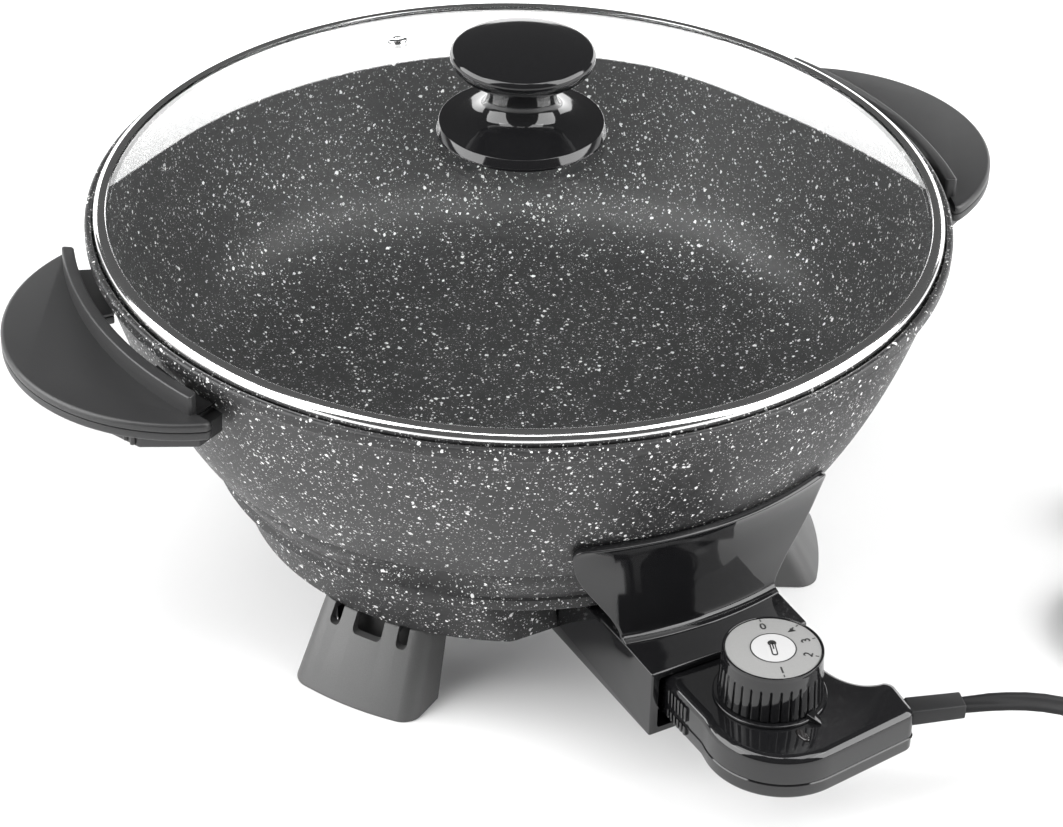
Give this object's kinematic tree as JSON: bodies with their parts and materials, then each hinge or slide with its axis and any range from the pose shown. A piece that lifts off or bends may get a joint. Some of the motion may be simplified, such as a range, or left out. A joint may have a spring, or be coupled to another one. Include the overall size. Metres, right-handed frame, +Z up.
{
  "type": "electric wok",
  "caption": "Electric wok with a coated pan on feet, lift-off glass lid, side handles, front heat shield and a plug-in heat control with a turning dial, coiled cord and plug.",
  "frame": {"origin": "on the worktop, midway between the control's front and the pan's back, on the middle plane between the side handles", "axes": "+Z up, -Y to the front where the heat control plugs in, +X to the right"},
  "size_m": [0.5204, 0.4416, 0.2525],
  "materials": {
    "speckled_coating": "satin",
    "matt_black_plastic": "matte",
    "gloss_black_plastic": "gloss",
    "polished_steel": "polished",
    "reflector_tin": "satin",
    "zinc_screw": "satin",
    "nickel_brass": "satin",
    "white_ceramic": "satin",
    "clear_glass": "polished",
    "silver_label": "satin",
    "smoked_lens": "gloss",
    "black_rubber": "matte",
    "black_flex": "satin",
    "tie_strap": "satin"
  },
  "bodies": {
    "wok": {"wok_pan": "speckled_coating", "base_skirt": "speckled_coating", "heating_element": "polished_steel", "terminal_pin_left": "nickel_brass", "terminal_pin_right": "nickel_brass", "terminal_bush_left": "white_ceramic", "terminal_bush_right": "white_ceramic", "probe_guide": "reflector_tin", "base_cover": "reflector_tin", "base_cover_screw": "zinc_screw", "leg_front_left": "matt_black_plastic", "leg_front_right": "matt_black_plastic", "leg_rear": "matt_black_plastic", "leg_screw_front_left": "zinc_screw", "leg_screw_front_right": "zinc_screw", "leg_screw_rear": "zinc_screw", "socket_shield": "gloss_black_plastic", "shield_screw_left": "zinc_screw", "shield_screw_right": "zinc_screw", "handle_left_upper": "matt_black_plastic", "handle_left_lower": "matt_black_plastic", "handle_right_upper": "matt_black_plastic", "handle_right_lower": "matt_black_plastic", "handle_screw_left_front": "zinc_screw", "handle_screw_left_rear": "zinc_screw", "handle_screw_right_front": "zinc_screw", "handle_screw_right_rear": "zinc_screw"},
    "lid": {"lid_glass": "clear_glass", "lid_ring": "polished_steel", "vent_eyelet": "polished_steel", "knob_base": "gloss_black_plastic", "knob_cap": "gloss_black_plastic", "knob_washer": "black_rubber", "knob_screw": "zinc_screw"},
    "control": {"control_upper_housing": "gloss_black_plastic", "control_lower_housing": "gloss_black_plastic", "dial_bezel": "gloss_black_plastic", "indicator_lamp": "smoked_lens", "thermostat_frame": "polished_steel", "contact_arm": "nickel_brass", "contact_sleeve_left": "nickel_brass", "contact_sleeve_right": "nickel_brass", "probe_rod": "polished_steel", "housing_screw_front": "zinc_screw", "housing_screw_rear": "zinc_screw", "cord_boot": "black_rubber", "power_cord": "black_flex", "cord_coil": "black_flex", "cord_tail": "black_flex", "cord_tie": "tie_strap", "plug_body": "black_rubber", "plug_pin_live": "nickel_brass", "plug_pin_neutral": "nickel_brass", "plug_pin_earth": "nickel_brass"},
    "dial": {"dial_knob": "gloss_black_plastic", "dial_label": "silver_label", "dial_shaft": "nickel_brass"}
  },
  "joints": [
    {"name": "lid_lift", "type": "slide", "parent": "wok", "child": "lid", "axis": [0, 0, 1], "range_m": [0, 0.15]},
    {"name": "control_pull", "type": "slide", "parent": "wok", "child": "control", "axis": [0, -1, 0], "range_m": [0, 0.13]},
    {"name": "dial_turn", "type": "hinge", "parent": "control", "child": "dial", "pos_m": [0.001, -0.17325, 0.0816], "axis": [0, 0, -1], "range_deg": [-195, 120]}
  ]
}
